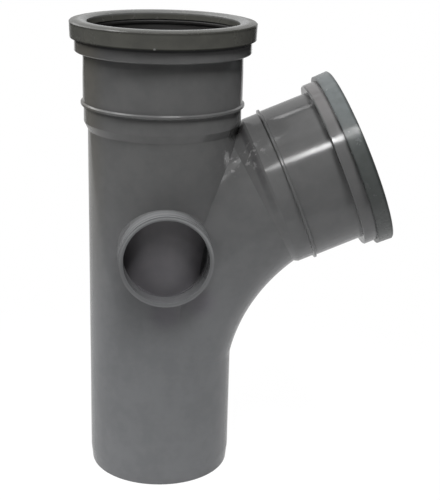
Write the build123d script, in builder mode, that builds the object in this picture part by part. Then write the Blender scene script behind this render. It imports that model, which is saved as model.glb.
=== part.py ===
from build123d import *
from math import acos, cos, degrees, radians, sin, tan
import os

os.makedirs("parts", exist_ok=True)

# A 110 mm soil pipe branch: an upright pipe with a plain spigot end at the foot, a ring-seal
# socket at the top and a second socket on a swept branch, and a blanked boss on the front.
# The body is one moulding. Each socket has a rubber ring seated in its collar, held in by a
# cap that snaps over the collar. Z is up, the branch leans towards +X and the boss faces -Y.

# Pipe: a straight spigot below, then a barrel that widens a little to the shoulder for draft
pipe_radius = 55.0
wall = 3.2
overall_height = 349.3
spigot_length = 88.0
spigot_chamfer_length = 10.8
spigot_chamfer_depth = 1.1
barrel_draft = 0.3

# Branch
branch_angle = 67.5
branch_height = 186.8
mouth_rise = 43.26

# Sweep that joins the branch to the pipe; its throat line starts and ends inside their walls
throat_radius = 127.3
throat_inset = 2.5
throat_start_rise = 0.8
sweep_slimming = 1.0

# Socket, the same at both ends; depths run down from the crest of the cap
socket_clearance = 0.6
root_step = 0.6
stop_depth = 72.0
stop_floor = 1.9
shoulder_angle = 26.0
bead_rise = 13.3
bead_height = 1.6
bead_half_width = 1.6
bead_crown_half_width = 0.7

# Collar that houses the seal
collar_stand = 5.9
collar_depth = 22.7
collar_edge = 0.6
rim_depth = 4.3

# Retaining cap
cap_clearance = 0.1
cap_wall = 3.4
cap_taper = 0.4
cap_depth = 12.8
crest_width = 4.8
mouth_drop = 1.8
outer_drop = 1.0
cap_edge = 0.8
lip_depth = 6.6
lip_thickness = 2.4
snap_depth = 9.6
snap_height = 0.6
snap_half_width = 0.9

# Seal ring
seal_clearance = 0.1
lip_gap = 0.45
lip_tip_rise = 1.5
lip_tip_thickness = 1.5
lip_slope = 1.2
lip_length = 7.0
wiper_width = 1.2
wiper_flare = 1.5
relief_height = 6.7
relief_width = 1.7

# Boss
boss_radius = 34.05
boss_wall = 3.05
boss_stand = 15.4
boss_rise = 0.5
boss_draft = 2.0
boss_socket_depth = 13.6
boss_ledge = 0.6
blank_stand = 1.5

# Radii and levels worked out from the sizes above
bore_radius = pipe_radius - wall
barrel_radius = pipe_radius + barrel_draft
socket_bore = pipe_radius + socket_clearance
socket_radius = socket_bore + wall
root_radius = socket_radius - root_step
shoulder_depth = stop_depth + stop_floor
bead_depth = shoulder_depth - bead_rise
collar_radius = socket_radius + collar_stand
seat_radius = collar_radius - wall
seat_depth = collar_depth - wall
skirt_bore = collar_radius + cap_clearance
cap_radius = skirt_bore + cap_wall
lip_radius = socket_bore + lip_thickness
sweep_tube_radius = pipe_radius - sweep_slimming
sweep_bore = sweep_tube_radius - wall
boss_height = branch_height + boss_rise
boss_face = pipe_radius + boss_stand
boss_bore = boss_radius - boss_wall
boss_depth = boss_face - bore_radius / 2
boss_foot_radius = boss_radius + boss_depth * tan(radians(boss_draft))

# Both axes lie at the same distance from the centre of the sweep
sweep_out = throat_radius + pipe_radius - throat_inset
sweep_drop = sweep_out * tan(radians(branch_angle) / 2)
branch_reach = sweep_drop + mouth_rise
sweep_centre = Vector(sweep_out, 0, branch_height - sweep_drop)
sweep_line_radius = throat_radius + sweep_tube_radius

# The sweep starts where its throat is inside the pipe wall and ends square to the branch
sweep_start = degrees(acos(1 - throat_start_rise / throat_radius))

lean = radians(branch_angle)
branch_way = Vector(sin(lean), 0, cos(lean))
branch_across = Vector(cos(lean), 0, -sin(lean))
branch_crossing = Vector(0, 0, branch_height)
front = Vector(0, -1, 0)

# On a mouth plane x is the radius and y runs out of the socket, with 0 at the crest of the cap
top_mouth = Plane(origin=(0, 0, overall_height), x_dir=(1, 0, 0), z_dir=front)
branch_mouth = Plane(
    origin=branch_crossing + branch_way * branch_reach,
    x_dir=branch_across,
    z_dir=front,
)
pipe_line = Axis(top_mouth.origin, top_mouth.y_dir)
branch_line = Axis(branch_mouth.origin, branch_mouth.y_dir)
sweep_axis = Axis(sweep_centre, (0, 1, 0))
boss_line = Axis((0, 0, boss_height), front)


def socket_outside(mouth, neck_radius):
    """Half section of a socket's outside, from the neck to the rim, filled to the axis."""
    neck_depth = shoulder_depth + (root_radius - neck_radius) / tan(radians(shoulder_angle))
    bead_foot = -bead_depth - bead_half_width
    bead_top = -bead_depth + bead_half_width
    groove_foot = -snap_depth - snap_half_width
    groove_top = -snap_depth + snap_half_width
    with BuildSketch(mouth) as section:
        with BuildLine():
            Polyline(
                (0, -neck_depth),
                (neck_radius, -neck_depth),
                (root_radius, -shoulder_depth),
                (root_radius, bead_foot),
                (socket_radius + bead_height, -bead_depth - bead_crown_half_width),
                (socket_radius + bead_height, -bead_depth + bead_crown_half_width),
                (socket_radius, bead_top),
                (socket_radius, -collar_depth),
                (collar_radius - collar_edge, -collar_depth),
                (collar_radius, -collar_depth + collar_edge),
                (collar_radius, groove_foot - snap_height),
                (collar_radius - snap_height, groove_foot),
                (collar_radius - snap_height, groove_top),
                (collar_radius, groove_top + snap_height),
                (collar_radius, -rim_depth),
                (0, -rim_depth),
                (0, -neck_depth),
            )
        make_face()
    return section.sketch


def socket_inside(mouth):
    """Half section of a socket's hollow: the seat of the seal and the bore down to the stop."""
    with BuildSketch(mouth) as section:
        with BuildLine():
            Polyline(
                (0, -stop_depth),
                (socket_bore, -stop_depth),
                (socket_bore, -seat_depth),
                (seat_radius, -seat_depth),
                (seat_radius, 0),
                (0, 0),
                (0, -stop_depth),
            )
        make_face()
    return section.sketch


def cap_section(mouth):
    """Half section of a retaining cap: crowned ring, inner lip and snap skirt."""
    crest = (socket_bore + crest_width, 0)
    edge_start = (cap_radius - cap_edge, -outer_drop)
    cap_foot_radius = cap_radius - cap_taper
    rib_foot = -snap_depth - snap_half_width
    rib_top = -snap_depth + snap_half_width
    with BuildSketch(mouth) as section:
        with BuildLine():
            TangentArc(crest, (socket_bore, -mouth_drop), tangent=(-1, 0))
            TangentArc(crest, edge_start, tangent=(1, 0))
            Polyline(
                edge_start,
                (cap_radius, -outer_drop - cap_edge),
                (cap_foot_radius, -cap_depth),
                (skirt_bore, -cap_depth),
                (skirt_bore, rib_foot),
                (skirt_bore - snap_height, rib_foot + snap_height),
                (skirt_bore - snap_height, rib_top - snap_height),
                (skirt_bore, rib_top),
                (skirt_bore, -rim_depth),
                (lip_radius, -rim_depth),
                (lip_radius, -lip_depth),
                (socket_bore, -lip_depth),
                (socket_bore, -mouth_drop),
            )
        make_face()
    return section.sketch


def seal_section(mouth):
    """Half section of a seal ring: its root, a wiper lip and a slanting sealing lip."""
    outer_radius = seat_radius - seal_clearance
    root_bore = lip_radius + seal_clearance
    root_top = rim_depth + seal_clearance
    wiper_top = lip_depth + seal_clearance
    wiper_edge = wiper_top + wiper_flare
    wiper_foot = wiper_edge + wiper_width
    lip_tip_depth = seat_depth - lip_tip_rise
    lip_root = lip_tip_depth - lip_length
    tip_radius = pipe_radius + lip_gap
    waist_radius = tip_radius + lip_slope
    back_radius = tip_radius + lip_tip_thickness
    relief_radius = back_radius + relief_width
    with BuildSketch(mouth) as section:
        with BuildLine():
            Polyline(
                (root_bore, -root_top),
                (outer_radius, -root_top),
                (outer_radius, -seat_depth),
                (relief_radius, -seat_depth),
                (relief_radius, relief_height - seat_depth),
                (back_radius, -lip_tip_depth),
                (tip_radius, -lip_tip_depth),
                (waist_radius, -lip_root),
                (tip_radius, -wiper_foot),
                (tip_radius, -wiper_edge),
                (tip_radius + wiper_flare, -wiper_top),
                (root_bore, -wiper_top),
                (root_bore, -root_top),
            )
        make_face()
    return section.sketch


def sweep_section(tube_radius):
    """Circle at the start of the sweep, to be turned about the sweep's axis."""
    start = radians(sweep_start)
    inward = Vector(-cos(start), 0, sin(start))
    along = Vector(sin(start), 0, cos(start))
    with BuildSketch(Plane(origin=sweep_centre, x_dir=inward, z_dir=along)) as section:
        with Locations((sweep_line_radius, 0)):
            Circle(tube_radius)
    return section.sketch


# Hollow of the boss: a straight socket, a narrow ledge and a floor that follows the round of the pipe
with BuildPart() as boss_hollow:
    with BuildSketch(Plane.XZ.offset(boss_face)):
        with Locations((0, boss_height)):
            Circle(boss_bore)
    extrude(amount=-boss_socket_depth)
    with BuildSketch(Plane.XZ.offset(boss_face)):
        with Locations((0, boss_height)):
            Circle(boss_bore - boss_ledge)
    extrude(amount=-boss_depth)
    with BuildSketch(Plane.XY.offset(boss_height - boss_radius)):
        Circle(pipe_radius + blank_stand)
    extrude(amount=2 * boss_radius, mode=Mode.SUBTRACT)

# Body: the outside first, then the hollows
with BuildPart() as branch_body:
    # Main pipe with its spigot end
    with BuildSketch(Plane.XZ):
        Polygon(
            (0, 0),
            (pipe_radius - spigot_chamfer_depth, 0),
            (pipe_radius, spigot_chamfer_length),
            (pipe_radius, spigot_length),
            (barrel_radius, overall_height - shoulder_depth),
            (0, overall_height - shoulder_depth),
            align=None,
        )
    revolve(axis=Axis.Z)

    # Swept branch and the two sockets
    revolve(sweep_section(sweep_tube_radius), axis=sweep_axis, revolution_arc=branch_angle - sweep_start)
    revolve(socket_outside(top_mouth, barrel_radius), axis=pipe_line)
    revolve(socket_outside(branch_mouth, sweep_bore), axis=branch_line)

    # Boss, its foot buried in the pipe
    with BuildSketch(Plane(origin=boss_line.position, x_dir=(1, 0, 0), z_dir=(0, 0, 1))):
        Polygon(
            (0, -boss_face),
            (boss_radius, -boss_face),
            (boss_foot_radius, boss_depth - boss_face),
            (0, boss_depth - boss_face),
            align=None,
        )
    revolve(axis=boss_line)
    add(boss_hollow.part, mode=Mode.SUBTRACT)

    # Bores
    revolve(socket_inside(top_mouth), axis=pipe_line, mode=Mode.SUBTRACT)
    revolve(socket_inside(branch_mouth), axis=branch_line, mode=Mode.SUBTRACT)
    with BuildSketch(Plane.XY):
        Circle(bore_radius)
    extrude(amount=overall_height - stop_depth, mode=Mode.SUBTRACT)
    revolve(
        sweep_section(sweep_bore),
        axis=sweep_axis,
        revolution_arc=branch_angle - sweep_start,
        mode=Mode.SUBTRACT,
    )
branch_body.part.label = "branch_body"
export_step(branch_body.part, "parts/branch_body.step")

# Seal ring and retaining cap of the top socket
with BuildPart() as top_seal_ring:
    revolve(seal_section(top_mouth), axis=pipe_line)
top_seal_ring.part.label = "top_seal_ring"
export_step(top_seal_ring.part, "parts/top_seal_ring.step")

with BuildPart() as top_retaining_cap:
    revolve(cap_section(top_mouth), axis=pipe_line)
top_retaining_cap.part.label = "top_retaining_cap"
export_step(top_retaining_cap.part, "parts/top_retaining_cap.step")

# Seal ring and retaining cap of the branch socket
with BuildPart() as branch_seal_ring:
    revolve(seal_section(branch_mouth), axis=branch_line)
branch_seal_ring.part.label = "branch_seal_ring"
export_step(branch_seal_ring.part, "parts/branch_seal_ring.step")

with BuildPart() as branch_retaining_cap:
    revolve(cap_section(branch_mouth), axis=branch_line)
branch_retaining_cap.part.label = "branch_retaining_cap"
export_step(branch_retaining_cap.part, "parts/branch_retaining_cap.step")
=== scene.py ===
import math

import bmesh
import bpy
from mathutils import Matrix, Vector

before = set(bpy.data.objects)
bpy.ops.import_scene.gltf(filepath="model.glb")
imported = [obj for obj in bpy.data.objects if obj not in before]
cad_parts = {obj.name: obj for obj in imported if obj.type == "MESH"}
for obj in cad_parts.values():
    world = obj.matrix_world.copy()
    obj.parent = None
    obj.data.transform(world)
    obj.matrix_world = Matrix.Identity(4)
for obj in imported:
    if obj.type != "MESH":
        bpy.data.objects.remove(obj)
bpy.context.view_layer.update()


def linear(red, green, blue):
    """Turns a colour as the eye names it, 0 to 255, into the linear one that shaders take."""
    def channel(value):
        value /= 255
        return value / 12.92 if value <= 0.04045 else ((value + 0.055) / 1.055) ** 2.4
    return (channel(red), channel(green), channel(blue), 1.0)


BODY = "branch_body"
TOP_CAP = "top_retaining_cap"
BRANCH_CAP = "branch_retaining_cap"
SEALS = ("top_seal_ring", "branch_seal_ring")

# Places and directions on the part; all lengths are in metres
UP = (0.0, 0.0, 1.0)
LEFT = (-1.0, 0.0, 0.0)
FRONT = (0.0, -1.0, 0.0)
FOOT = (0.0, 0.0, 0.0)
CROSSING = (0.0, 0.0, 0.1868)
BRANCH_WAY = (0.92388, 0.0, 0.38268)

# A socket: where its axis starts, which way it runs, and how far along it the cap's crest lies
TOP_SOCKET = (FOOT, UP, 0.3493)
BRANCH_SOCKET = (CROSSING, BRANCH_WAY, 0.1634)
CAP_DEPTH = 0.0127

# The body's plastic, with a painted warm cast of the light towards the top, most of all at the far left
BODY_DARK = linear(96, 97, 99)
BODY_LIGHT = linear(101, 102, 104)
WARM_LIGHT_TINT = (0.93, 0.91, 0.875, 1.0)
WARM_HEIGHTS = (0.10, 0.27)
LEFT_LIGHT_TINT = (0.95, 0.91, 0.81, 1.0)
EDGE_PLACES = (0.040, 0.056)

# Painted shade in the fold of the branch's shoulder, on its upper side
FOLD_SHADE_TINT = (0.60, 0.59, 0.60, 1.0)
FOLD_SHADE = 0.9
FOLD_PLACES = (0.0844, 0.0866)
FOLD_SOFTNESS = 0.0020
FOLD_HEIGHTS = (0.200, 0.262)
FOLD_RADII = (0.0590, 0.0620)
FOLD_PATCHES = (130.0, 0.55)

# Painted shade deep in the crotch between the two sockets
CROTCH = (0.0525, 0.0, 0.2715)
CROTCH_SHADE_TINT = (0.22, 0.21, 0.20, 1.0)
CROTCH_RADII = (0.0030, 0.0085)

# Painted shade in the gap between collar and cap, wider and darker on the top socket
GAP_SHADE_TINT = (0.42, 0.42, 0.42, 1.0)
GAP_RADII = (0.0600, 0.0620)
GAP_SOFTNESS = 0.0006
GAP_UNDER_CAP = 0.0010
GAP_ON_CAP = (0.0003, 0.0009)
TOP_GAP_WIDTH = 0.0016
TOP_GAP_SHADE = 1.0
BRANCH_GAP_WIDTH = 0.0004
BRANCH_GAP_SHADE = 0.4

# Pale scuffs on both sides of the seam beside the crotch
SCUFFS = ((0.046, -0.032, 0.250), (0.062, -0.038, 0.258))
SCUFF_TONE = linear(146, 145, 145)
SCUFF_RADII = (0.004, 0.015)
SCUFF_SPECKS = 260.0
SPECK_SPAN = (0.56, 0.68)
SPECK_MOST = 0.75

# The branch's collar, with a painted sheen on top
COLLAR_SHEEN_TONE = linear(119, 117, 117)
COLLAR_PLACES = (0.1425, 0.1600)
COLLAR_SOFTNESS = 0.0010
COLLAR_RADII = (0.0620, 0.0640)
COLLAR_HEIGHTS = (0.268, 0.300)
COLLAR_SHEEN = 0.75

# The blank floor in the boss, a little more purple than the rest
BLANK_TINT = (0.98, 0.93, 0.97, 1.0)
BLANK_RADII = (0.0300, 0.0308)
BLANK_PLACES = (0.0460, 0.0500)

# A faint painted shadow of the boss on the pipe below it
BOSS_SHADOW_SPOTS = ((0.001, -0.0551, 0.1410), (0.0262, -0.0537, 0.1500))
BOSS_SHADOW_TINT = (0.86, 0.81, 0.87, 1.0)
BOSS_SHADOW_RADII = (0.003, 0.017)

# The boss's turned wall, with fine rings
RING_DARK = linear(103, 104, 105)
RING_LIGHT = linear(130, 131, 132)
RING_SCALE = 700.0
RING_DETAIL = 2.0
RING_SPAN = (0.35, 0.65)
BOSS_RADII = (0.0306, 0.0360)
BOSS_SOFTNESS = 0.0004
BOSS_PLACES = (0.0560, 0.0600)
BOSS_HEIGHTS = (-0.005, 0.024)
BOSS_LEAST = 0.2

# The caps: olive grey on top and greener grey on the branch, whose upper side has a painted sheen
OLIVE_DARK = linear(78, 78, 74)
OLIVE_LIGHT = linear(85, 85, 80)
GREEN_DARK = linear(74, 77, 76)
GREEN_LIGHT = linear(81, 84, 83)
TOP_CAP_SHEEN = 0.0
BRANCH_CAP_SHEEN = 0.8
CAP_SHEEN_TONE = linear(106, 111, 112)
CAP_SHEEN_HEIGHTS = (0.262, 0.300)
CAP_PATCHES = (90.0, 0.70)

# The caps' rims: painted shade at the outer edge, a painted highlight at the inner one, most of all in front
RIM_DEPTHS = (0.0035, 0.0020)
RIM_SHADE = (0.60, 0.60, 0.60, 1.0)
RIM_OUTER_RADII = (0.0630, 0.0655)
RIM_HIGHLIGHT_TONE = linear(128, 129, 129)
RIM_INNER_RADII = (0.0605, 0.0635)
RIM_FRONT = (-0.050, 0.050)
RIM_LEAST = 0.5

# A small pale spot on the top cap's lower edge
PALE_SPOT = (-0.0096, -0.0672, 0.3370)
PALE_SPOT_TONE = linear(124, 124, 122)
PALE_SPOT_RADII = (0.0003, 0.0012)

RUBBER_DARK = linear(19, 18, 18)
RUBBER_LIGHT = linear(29, 28, 27)

# Clouds in a tone: scales of the large and small ones, their shares, and what of the noise counts
LARGE_CLOUDS = (26.0, 0.6)
SMALL_CLOUDS = (110.0, 0.4)
CLOUD_SPAN = (0.38, 0.62)
PATCH_SPAN = (0.35, 0.60)

# Gloss: scale of its unevenness, and the roughness at its glossiest and dullest
BODY_GLOSS = (60.0, 0.12, 0.19)
CAP_GLOSS = (80.0, 0.19, 0.29)
RUBBER_GLOSS = (120.0, 0.45, 0.60)
GLOSS_SPAN = (0.3, 0.7)
GLOSS_NOISE_ROUGHNESS = 0.55

# Moulded plastic's slight ripple
RIPPLE_SCALE = 340.0
RIPPLE_STRENGTH = 0.03
RIPPLE_DEPTH = 0.0004
RIPPLE_DETAIL = 2.0
RIPPLE_NOISE_ROUGHNESS = 0.5

# Where the photograph was taken from, in metres and degrees
CAMERA_PLACE = (-0.044965, -0.830444, 0.448885)
CAMERA_YAW = 6.215
CAMERA_PITCH = 18.27
CAMERA_ROLL = -1.539
CAMERA_LENS = 81.67
CAMERA_SENSOR = 36.0
CAMERA_NEAREST = 0.01
CAMERA_FARTHEST = 50.0

# Studio: a sheet of white paper with one corner towards the camera, on a grey floor
MIDDLE = (0.05, 0.0, 0.22)
ROOM_LIGHT = 0.03
LAMP_DISTANCE = 1.6
# Name, azimuth and elevation in degrees, width and height in metres, and power in watts
LAMPS = (
    ("front softbox", 13, 61, 0.50, 0.50, 21.0),
    ("ceiling panel", -105, 68, 1.20, 1.20, 2.4),
    ("left softbox", -85, 47, 0.80, 0.80, 14.5),
    ("small lamp", -11, 45.6, 0.22, 0.13, 3.2),
    ("back lamp", -157, 52, 0.20, 0.20, 0.4),
    ("back softbox", -130, 30, 1.20, 1.20, 8.8),
    ("back wall", 180, 20, 1.60, 1.60, 4.5),
)
FLOOR_TONE = 0.16
FLOOR_LEVEL = -0.001
FLOOR_CORNERS = ((-6.0, -6.0), (6.0, -6.0), (6.0, 6.0), (-6.0, 6.0))
PAPER_TONE = 0.90
PAPER_LEVEL = 0.0
PAPER_CORNERS = (
    (-0.66, 0.33), (-0.50, -0.02), (-0.29, -0.24), (0.10, -0.53),
    (0.55, 0.20), (1.95, 5.20), (-0.66, 5.20),
)
PAPER_GLOW_ON_OBJECT = 0.42
PAPER_GLOW_MIRRORED = 0.63
PAPER_GLOW_SEEN = 0.90
SHADOW_REACH = (0.06, 0.35)


# Camera

def place_camera():
    yaw = math.radians(CAMERA_YAW)
    pitch = math.radians(CAMERA_PITCH)
    roll = math.radians(CAMERA_ROLL)
    ahead = Vector((math.sin(yaw) * math.cos(pitch), math.cos(yaw) * math.cos(pitch), -math.sin(pitch)))
    level = Vector((math.cos(yaw), -math.sin(yaw), 0.0))
    down = ahead.cross(level)
    right = level * math.cos(roll) + down * math.sin(roll)
    up = level * math.sin(roll) - down * math.cos(roll)
    turn = Matrix((right, up, -ahead)).transposed()
    data = bpy.data.cameras.new("camera")
    data.lens = CAMERA_LENS
    data.sensor_width = CAMERA_SENSOR
    data.sensor_fit = "AUTO"
    data.clip_start = CAMERA_NEAREST
    data.clip_end = CAMERA_FARTHEST
    camera = bpy.data.objects.new("camera", data)
    camera.matrix_world = Matrix.Translation(CAMERA_PLACE) @ turn.to_4x4()
    bpy.context.scene.collection.objects.link(camera)
    bpy.context.scene.camera = camera


# Nodes

def calculate(tree, operation, first, second):
    """A maths node; each input is another node's output or a plain number."""
    node = tree.nodes.new("ShaderNodeMath")
    node.operation = operation
    for socket, value in zip(node.inputs, (first, second)):
        if isinstance(value, (int, float)):
            socket.default_value = value
        else:
            tree.links.new(value, socket)
    return node.outputs[0]


def product(tree, first, *others):
    for other in others:
        first = calculate(tree, "MULTIPLY", first, other)
    return first


def ranged(tree, value, low, high, to_low=0.0, to_high=1.0):
    """Maps low..high softly to to_low..to_high, and stays there beyond both."""
    node = tree.nodes.new("ShaderNodeMapRange")
    node.interpolation_type = "SMOOTHSTEP"
    node.inputs["From Min"].default_value = low
    node.inputs["From Max"].default_value = high
    node.inputs["To Min"].default_value = to_low
    node.inputs["To Max"].default_value = to_high
    tree.links.new(value, node.inputs["Value"])
    return node.outputs["Result"]


def grows(tree, value, span, most=1.0):
    """0 before the span, rising softly to the most after it."""
    return ranged(tree, value, *span, 0.0, most)


def fades(tree, value, span, most=1.0):
    """The most before the span, falling softly to 0 after it."""
    return ranged(tree, value, *span, most, 0.0)


def band(tree, value, low, high, soft):
    """1 between low and high, falling softly to 0 on either side."""
    return product(tree, grows(tree, value, (low - soft, low)), fades(tree, value, (high, high + soft)))


def vector_maths(tree, operation, first, second):
    node = tree.nodes.new("ShaderNodeVectorMath")
    node.operation = operation
    tree.links.new(first, node.inputs[0])
    node.inputs[1].default_value = second
    return node


def place_on_part(tree):
    return tree.nodes.new("ShaderNodeTexCoord").outputs["Object"]


def distance_from(tree, point):
    return vector_maths(tree, "DISTANCE", place_on_part(tree), point).outputs["Value"]


def distance_along(tree, point, way):
    """How far a place lies from the point in the given direction."""
    offset = vector_maths(tree, "SUBTRACT", place_on_part(tree), point).outputs["Vector"]
    return vector_maths(tree, "DOT_PRODUCT", offset, way).outputs["Value"]


def distance_off_axis(tree, point, way):
    """How far a place lies from the axis through the point in the given direction."""
    offset = vector_maths(tree, "SUBTRACT", place_on_part(tree), point).outputs["Vector"]
    across = vector_maths(tree, "CROSS_PRODUCT", offset, way).outputs["Vector"]
    length = tree.nodes.new("ShaderNodeVectorMath")
    length.operation = "LENGTH"
    tree.links.new(across, length.inputs[0])
    return length.outputs["Value"]


def height_above_foot(tree):
    return distance_along(tree, FOOT, UP)


def noise(tree, scale, detail=3.0, roughness=0.6):
    texture = tree.nodes.new("ShaderNodeTexNoise")
    texture.inputs["Scale"].default_value = scale
    texture.inputs["Detail"].default_value = detail
    texture.inputs["Roughness"].default_value = roughness
    tree.links.new(place_on_part(tree), texture.inputs["Vector"])
    return texture.outputs["Fac"]


def patches(tree, scale, least):
    """An uneven share that wanders between the least and 1."""
    return ranged(tree, noise(tree, scale), *PATCH_SPAN, least, 1.0)


def mix_tones(tree, share, first, second):
    """Mixes two colours; each is another node's output or a plain colour."""
    node = tree.nodes.new("ShaderNodeMix")
    node.data_type = "RGBA"
    tree.links.new(share, node.inputs["Factor"])
    for socket, tone in ((node.inputs["A"], first), (node.inputs["B"], second)):
        if isinstance(tone, tuple):
            socket.default_value = tone
        else:
            tree.links.new(tone, socket)
    return node.outputs["Result"]


def tinted(tree, tone, tint, share):
    """Multiplies a colour by a tint, by the given share."""
    node = tree.nodes.new("ShaderNodeMix")
    node.data_type = "RGBA"
    node.blend_type = "MULTIPLY"
    tree.links.new(share, node.inputs["Factor"])
    tree.links.new(tone, node.inputs["A"])
    node.inputs["B"].default_value = tint
    return node.outputs["Result"]


# Studio

def softbox(name, azimuth, elevation, width, height, power):
    """A soft lamp that faces the object; azimuth 0 is in front of it and 90 on its right."""
    turn = math.radians(azimuth)
    rise = math.radians(elevation)
    way = Vector((math.sin(turn) * math.cos(rise), -math.cos(turn) * math.cos(rise), math.sin(rise)))
    data = bpy.data.lights.new(name, "AREA")
    data.shape = "RECTANGLE"
    data.size = width
    data.size_y = height
    data.energy = power
    lamp = bpy.data.objects.new(name, data)
    lamp.location = Vector(MIDDLE) + way * LAMP_DISTANCE
    lamp.rotation_euler = way.to_track_quat("Z", "Y").to_euler()
    bpy.context.scene.collection.objects.link(lamp)


def make_world():
    """White behind everything to the camera; a dim room to the object and its reflections."""
    world = bpy.data.worlds.new("studio")
    world.use_nodes = True
    bpy.context.scene.world = world
    tree = world.node_tree
    light = tree.nodes["Background"]
    light.inputs["Color"].default_value = (1.0, 1.0, 1.0, 1.0)
    seen = tree.nodes.new("ShaderNodeLightPath").outputs["Is Camera Ray"]
    tree.links.new(ranged(tree, seen, 0.0, 1.0, ROOM_LIGHT, 1.0), light.inputs["Strength"])


def flat_sheet(name, corners, level, paint):
    """A level sheet with the given corners, for the floor and the paper on it."""
    shape = bmesh.new()
    shape.faces.new([shape.verts.new((x, y, level)) for x, y in corners])
    mesh = bpy.data.meshes.new(name)
    shape.to_mesh(mesh)
    shape.free()
    sheet = bpy.data.objects.new(name, mesh)
    sheet.data.materials.append(paint)
    bpy.context.scene.collection.objects.link(sheet)


def shine(tree, strength):
    glow = tree.nodes.new("ShaderNodeEmission")
    glow.inputs["Strength"].default_value = strength
    return glow.outputs[0]


def mix_shaders(tree, share, first, second):
    mix = tree.nodes.new("ShaderNodeMixShader")
    tree.links.new(share, mix.inputs["Fac"])
    tree.links.new(first, mix.inputs[1])
    tree.links.new(second, mix.inputs[2])
    return mix.outputs[0]


def matt_paint(name, tone):
    paint = bpy.data.materials.new(name)
    paint.use_nodes = True
    tree = paint.node_tree
    tree.nodes.clear()
    matt = tree.nodes.new("ShaderNodeBsdfDiffuse")
    matt.inputs["Color"].default_value = (tone, tone, tone, 1.0)
    return paint, tree, matt.outputs[0]


def show(tree, surface):
    out = tree.nodes.new("ShaderNodeOutputMaterial")
    tree.links.new(surface, out.inputs["Surface"])


def grey_floor():
    """Dark round the object and in its reflections, white to the camera."""
    paint, tree, matt = matt_paint("grey floor", FLOOR_TONE)
    seen = tree.nodes.new("ShaderNodeLightPath").outputs["Is Camera Ray"]
    show(tree, mix_shaders(tree, seen, matt, shine(tree, 1.0)))
    return paint


def white_paper():
    """White paper: plain white to the camera, with a faint shadow, and less bright in reflections."""
    paint, tree, matt = matt_paint("white paper", PAPER_TONE)
    lit = tree.nodes.new("ShaderNodeAddShader")
    tree.links.new(matt, lit.inputs[0])
    tree.links.new(shine(tree, PAPER_GLOW_ON_OBJECT), lit.inputs[1])
    path = tree.nodes.new("ShaderNodeLightPath")
    mirrored = calculate(tree, "MAXIMUM", path.outputs["Is Glossy Ray"], path.outputs["Is Transmission Ray"])
    around = mix_shaders(tree, mirrored, lit.outputs[0], shine(tree, PAPER_GLOW_MIRRORED))
    faint = ranged(tree, distance_from(tree, FOOT), *SHADOW_REACH, PAPER_GLOW_SEEN, 1.0)
    seen = product(tree, path.outputs["Is Camera Ray"], faint)
    show(tree, mix_shaders(tree, seen, around, shine(tree, 1.0)))
    return paint


def make_studio():
    make_world()
    flat_sheet("floor", FLOOR_CORNERS, FLOOR_LEVEL, grey_floor())
    flat_sheet("paper", PAPER_CORNERS, PAPER_LEVEL, white_paper())
    for name, azimuth, elevation, width, height, power in LAMPS:
        softbox(name, azimuth, elevation, width, height, power)


# What all the finishes share

def new_finish(name):
    finish = bpy.data.materials.new(name)
    finish.use_nodes = True
    tree = finish.node_tree
    shader = tree.nodes["Principled BSDF"]
    return finish, tree, shader


def clouded(tree, dark, light):
    """Moulded plastic's faint cloudy tone, large clouds with small ones in them."""
    large_scale, large_share = LARGE_CLOUDS
    small_scale, small_share = SMALL_CLOUDS
    large = calculate(tree, "MULTIPLY", noise(tree, large_scale), large_share)
    small = calculate(tree, "MULTIPLY", noise(tree, small_scale), small_share)
    return mix_tones(tree, grows(tree, calculate(tree, "ADD", large, small), CLOUD_SPAN), dark, light)


def gloss(tree, shader, scale, low, high):
    """Uneven gloss: roughness that wanders between low and high."""
    uneven = noise(tree, scale, roughness=GLOSS_NOISE_ROUGHNESS)
    tree.links.new(ranged(tree, uneven, *GLOSS_SPAN, low, high), shader.inputs["Roughness"])


def ripple(tree, shader):
    bump = tree.nodes.new("ShaderNodeBump")
    bump.inputs["Strength"].default_value = RIPPLE_STRENGTH
    bump.inputs["Distance"].default_value = RIPPLE_DEPTH
    tree.links.new(noise(tree, RIPPLE_SCALE, RIPPLE_DETAIL, RIPPLE_NOISE_ROUGHNESS), bump.inputs["Height"])
    tree.links.new(bump.outputs["Normal"], shader.inputs["Normal"])


# The body's finish; each step takes the tone so far and gives the next one

# Painted warm cast of the light, towards the top and most of all at the far left
def painted_warm_light(tree, tone):
    height = grows(tree, height_above_foot(tree), WARM_HEIGHTS)
    edge = grows(tree, distance_along(tree, FOOT, LEFT), EDGE_PLACES)
    tone = tinted(tree, tone, WARM_LIGHT_TINT, height)
    return tinted(tree, tone, LEFT_LIGHT_TINT, product(tree, height, edge))


# Painted shade in the fold of the branch's shoulder
def painted_fold_shade(tree, tone):
    fold = band(tree, distance_along(tree, CROSSING, BRANCH_WAY), *FOLD_PLACES, FOLD_SOFTNESS)
    upper = grows(tree, height_above_foot(tree), FOLD_HEIGHTS, FOLD_SHADE)
    reach = fades(tree, distance_off_axis(tree, CROSSING, BRANCH_WAY), FOLD_RADII)
    return tinted(tree, tone, FOLD_SHADE_TINT, product(tree, fold, upper, reach, patches(tree, *FOLD_PATCHES)))


# Painted shade deep in the crotch between the sockets
def painted_crotch_shade(tree, tone):
    return tinted(tree, tone, CROTCH_SHADE_TINT, fades(tree, distance_off_axis(tree, CROTCH, FRONT), CROTCH_RADII))


def painted_gap_shade(tree, tone, socket, width, share):
    """Painted shade on a collar, in the gap under its cap."""
    start, way, crest = socket
    cap_foot = crest - CAP_DEPTH
    soft = 0.5 * width + GAP_SOFTNESS
    gap = band(tree, distance_along(tree, start, way), cap_foot - width, cap_foot + GAP_UNDER_CAP, soft)
    outside = grows(tree, distance_off_axis(tree, start, way), GAP_RADII, share)
    return tinted(tree, tone, GAP_SHADE_TINT, product(tree, gap, outside))


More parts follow.
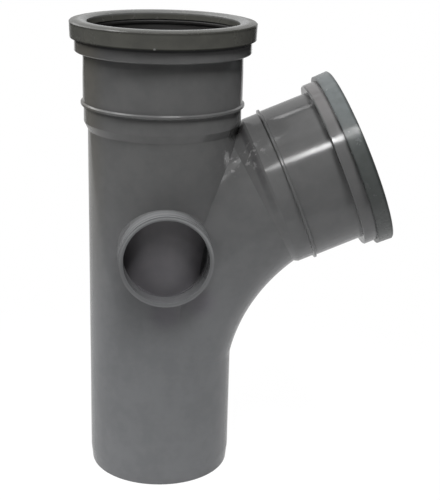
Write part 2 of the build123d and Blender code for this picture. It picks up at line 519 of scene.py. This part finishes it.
def scuffed(tree, tone):
    specks = grows(tree, noise(tree, SCUFF_SPECKS), SPECK_SPAN, SPECK_MOST)
    for centre in SCUFFS:
        near = fades(tree, distance_from(tree, centre), SCUFF_RADII)
        tone = mix_tones(tree, product(tree, specks, near), tone, SCUFF_TONE)
    return tone


# Painted sheen on the top of the branch's collar
def painted_collar_sheen(tree, tone):
    collar = band(tree, distance_along(tree, CROSSING, BRANCH_WAY), *COLLAR_PLACES, COLLAR_SOFTNESS)
    outside = grows(tree, distance_off_axis(tree, CROSSING, BRANCH_WAY), COLLAR_RADII)
    on_top = grows(tree, height_above_foot(tree), COLLAR_HEIGHTS, COLLAR_SHEEN)
    return mix_tones(tree, product(tree, collar, outside, on_top), tone, COLLAR_SHEEN_TONE)


def purple_blank(tree, tone):
    recess = fades(tree, distance_off_axis(tree, CROSSING, FRONT), BLANK_RADII)
    inside = grows(tree, distance_along(tree, CROSSING, FRONT), BLANK_PLACES)
    return tinted(tree, tone, BLANK_TINT, product(tree, recess, inside))


# Painted shadow of the boss on the pipe below it
def painted_boss_shadow(tree, tone):
    for centre in BOSS_SHADOW_SPOTS:
        tone = tinted(tree, tone, BOSS_SHADOW_TINT, fades(tree, distance_from(tree, centre), BOSS_SHADOW_RADII))
    return tone


def turned_boss(tree, tone):
    radius = distance_off_axis(tree, CROSSING, FRONT)
    depth = distance_along(tree, CROSSING, FRONT)
    wall = band(tree, radius, *BOSS_RADII, BOSS_SOFTNESS)
    proud = grows(tree, depth, BOSS_PLACES)
    top = ranged(tree, distance_along(tree, CROSSING, UP), *BOSS_HEIGHTS, BOSS_LEAST, 1.0)
    rings = tree.nodes.new("ShaderNodeTexNoise")
    rings.noise_dimensions = "1D"
    rings.inputs["Scale"].default_value = RING_SCALE
    rings.inputs["Detail"].default_value = RING_DETAIL
    tree.links.new(calculate(tree, "ADD", depth, radius), rings.inputs["W"])
    turned = mix_tones(tree, grows(tree, rings.outputs["Fac"], RING_SPAN), RING_DARK, RING_LIGHT)
    return mix_tones(tree, product(tree, wall, proud, top), tone, turned)


def body_plastic():
    finish, tree, shader = new_finish("grey moulded pvc")
    tone = clouded(tree, BODY_DARK, BODY_LIGHT)
    tone = painted_warm_light(tree, tone)
    tone = painted_fold_shade(tree, tone)
    tone = painted_crotch_shade(tree, tone)
    tone = painted_gap_shade(tree, tone, TOP_SOCKET, TOP_GAP_WIDTH, TOP_GAP_SHADE)
    tone = painted_gap_shade(tree, tone, BRANCH_SOCKET, BRANCH_GAP_WIDTH, BRANCH_GAP_SHADE)
    tone = scuffed(tree, tone)
    tone = painted_collar_sheen(tree, tone)
    tone = purple_blank(tree, tone)
    tone = painted_boss_shadow(tree, tone)
    tone = turned_boss(tree, tone)
    tree.links.new(tone, shader.inputs["Base Color"])
    gloss(tree, shader, *BODY_GLOSS)
    ripple(tree, shader)
    return finish


# The caps' finish

# Painted sheen on a cap's upper side
def painted_upper_sheen(tree, tone, share):
    on_top = grows(tree, height_above_foot(tree), CAP_SHEEN_HEIGHTS, share)
    return mix_tones(tree, product(tree, on_top, patches(tree, *CAP_PATCHES)), tone, CAP_SHEEN_TONE)


# Painted shade at a rim's outer edge and a painted highlight at its inner edge, most of all in front
def painted_rim_shade_and_highlight(tree, tone, socket):
    start, way, crest = socket
    low, high = RIM_DEPTHS
    radius = distance_off_axis(tree, start, way)
    rim = grows(tree, distance_along(tree, start, way), (crest - low, crest - high))
    outer = grows(tree, radius, RIM_OUTER_RADII)
    inner = fades(tree, radius, RIM_INNER_RADII)
    toward_front = ranged(tree, distance_along(tree, FOOT, FRONT), *RIM_FRONT, RIM_LEAST, 1.0)
    tone = tinted(tree, tone, RIM_SHADE, product(tree, rim, outer))
    return mix_tones(tree, product(tree, inner, toward_front, rim), tone, RIM_HIGHLIGHT_TONE)


# Painted shade on a cap's lower edge, beside the gap under it
def painted_edge_shade(tree, tone, socket, share):
    start, way, crest = socket
    low, high = GAP_ON_CAP
    cap_foot = crest - CAP_DEPTH
    edge = fades(tree, distance_along(tree, start, way), (cap_foot + low, cap_foot + high), share)
    return tinted(tree, tone, GAP_SHADE_TINT, edge)


def cap_plastic(name, dark, light, socket, sheen, edge_shade):
    """A cap's plastic; the shares say how much painted sheen its upper side has, and how much painted shade
    its lower edge has.
    """
    finish, tree, shader = new_finish(name)
    tone = clouded(tree, dark, light)
    tone = painted_upper_sheen(tree, tone, sheen)
    tone = painted_rim_shade_and_highlight(tree, tone, socket)
    tone = painted_edge_shade(tree, tone, socket, edge_shade)
    # A small pale spot on the top cap's lower edge
    tone = mix_tones(tree, fades(tree, distance_from(tree, PALE_SPOT), PALE_SPOT_RADII), tone, PALE_SPOT_TONE)
    tree.links.new(tone, shader.inputs["Base Color"])
    gloss(tree, shader, *CAP_GLOSS)
    ripple(tree, shader)
    return finish


def black_rubber():
    finish, tree, shader = new_finish("black rubber")
    tree.links.new(clouded(tree, RUBBER_DARK, RUBBER_LIGHT), shader.inputs["Base Color"])
    gloss(tree, shader, *RUBBER_GLOSS)
    return finish


def dress(node, finish):
    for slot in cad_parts[node].material_slots:
        slot.material = finish


def finish_pieces():
    olive = ("olive grey cap plastic", OLIVE_DARK, OLIVE_LIGHT)
    green = ("green grey cap plastic", GREEN_DARK, GREEN_LIGHT)
    dress(BODY, body_plastic())
    dress(TOP_CAP, cap_plastic(*olive, TOP_SOCKET, TOP_CAP_SHEEN, TOP_GAP_SHADE))
    dress(BRANCH_CAP, cap_plastic(*green, BRANCH_SOCKET, BRANCH_CAP_SHEEN, BRANCH_GAP_SHADE))
    rubber = black_rubber()
    for node in SEALS:
        dress(node, rubber)


bpy.context.scene.view_settings.view_transform = "Standard"
place_camera()
make_studio()
finish_pieces()
